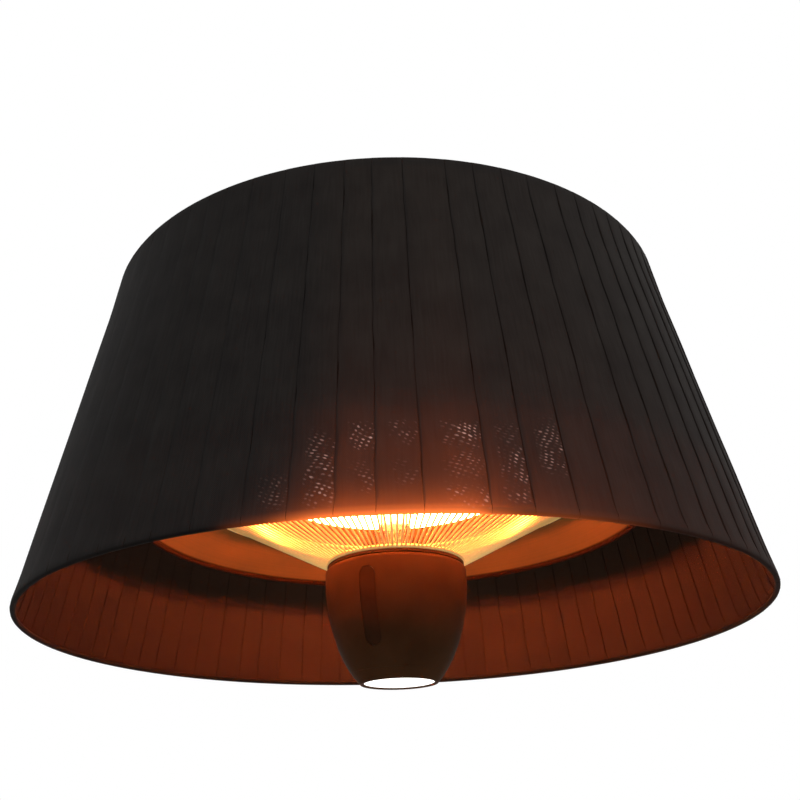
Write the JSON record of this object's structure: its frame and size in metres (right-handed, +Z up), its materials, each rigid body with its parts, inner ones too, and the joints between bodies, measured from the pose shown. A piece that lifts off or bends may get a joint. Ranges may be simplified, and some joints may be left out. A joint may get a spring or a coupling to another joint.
{
  "type": "hanging patio heater",
  "caption": "Hanging electric heater: pleated fabric shade round a reflector dish, wire guard, half-round halogen lamps and a lit cup, hung by a pivoting bail.",
  "frame": {"origin": "centre of the hanging eye, at mid thickness of the bail", "axes": "+Z up along the hanging eye, -Y towards the receiver window side, X along the pivot pin"},
  "size_m": [0.5992, 0.5992, 0.4052],
  "materials": {
    "pleated_fabric": "pleated stiffened polyester, matt, dark brown-black",
    "hem_fabric": "fabric rolled round the hoop, matt",
    "black_steel": "black powder coat, fine satin texture",
    "zinc_steel": "zinc plated steel, satin",
    "nylon": "moulded natural nylon",
    "seal_rubber": "silicone, matt black",
    "black_plastic": "moulded polyamide, matt black",
    "plain_aluminium": "mill finish aluminium sheet",
    "circuit_board": "glass epoxy board, green solder mask",
    "white_board": "aluminium backed light board, white solder mask",
    "relay_plastic": "moulded relay cases",
    "brass_screw": "plain brass",
    "lead_sleeve": "glass fibre sleeve, off-white",
    "reflector_aluminium": "spun anodised aluminium, semi-bright, warm tint",
    "lamp_ceramic": "steatite, unglazed",
    "lit_quartz": "golden quartz tube, lit",
    "lit_filament": "tungsten, glowing",
    "guard_wire": "bright plated wire",
    "polished_tube": "polished plated steel tube",
    "cup_paint": "gloss dark brown lacquer",
    "window_plastic": "dark infrared plastic, gloss",
    "lit_lens": "opal diffuser, lit"
  },
  "bodies": {
    "hanger": {"hanging_bail": "black_steel", "pivot_pin": "zinc_steel", "pivot_washers": "nylon", "pin_clip": "zinc_steel"},
    "heater": {"swivel_block": "zinc_steel", "suspension_rod": "zinc_steel", "rod_nuts": "zinc_steel", "rod_socket": "black_steel", "socket_bolts": "zinc_steel", "socket_nuts": "zinc_steel", "shade_fabric": "pleated_fabric", "shade_top_hoop": "black_steel", "shade_top_spokes": "black_steel", "shade_top_hem": "hem_fabric", "shade_bottom_hoop": "black_steel", "shade_bottom_hem": "hem_fabric", "housing_cover": "black_steel", "cover_gasket": "seal_rubber", "cover_screws": "zinc_steel", "cable_gland": "black_plastic", "gland_locknut": "black_plastic", "heat_shield": "plain_aluminium", "shield_spacers": "zinc_steel", "shield_screws": "zinc_steel", "control_board": "circuit_board", "board_posts": "nylon", "board_relays": "relay_plastic", "terminal_block": "nylon", "terminal_screws": "brass_screw", "thermal_cutout": "plain_aluminium", "lamp_leads": "lead_sleeve", "reflector_dish": "reflector_aluminium", "lamp_holders": "lamp_ceramic", "front_lamp_tube": "lit_quartz", "rear_lamp_tube": "lit_quartz", "front_filament": "lit_filament", "rear_filament": "lit_filament", "lamp_caps": "lamp_ceramic", "wire_guard": "guard_wire", "guard_clips": "guard_wire", "clip_screws": "zinc_steel", "centre_tube": "polished_tube", "ring_nuts": "zinc_steel", "cup_loom": "black_plastic", "cup_lid": "cup_paint", "lid_screws": "zinc_steel", "cup_shell": "cup_paint", "receiver_window": "window_plastic", "receiver_board": "circuit_board", "light_bezel": "cup_paint", "light_lens": "lit_lens", "lens_seal": "seal_rubber", "light_board": "white_board", "light_heat_sink": "plain_aluminium"}
  },
  "joints": [
    {"name": "suspension_swing", "type": "hinge", "parent": "hanger", "child": "heater", "pos_m": [0, 0, -0.048], "axis": [1, 0, 0], "range_deg": [-45, 45]}
  ]
}
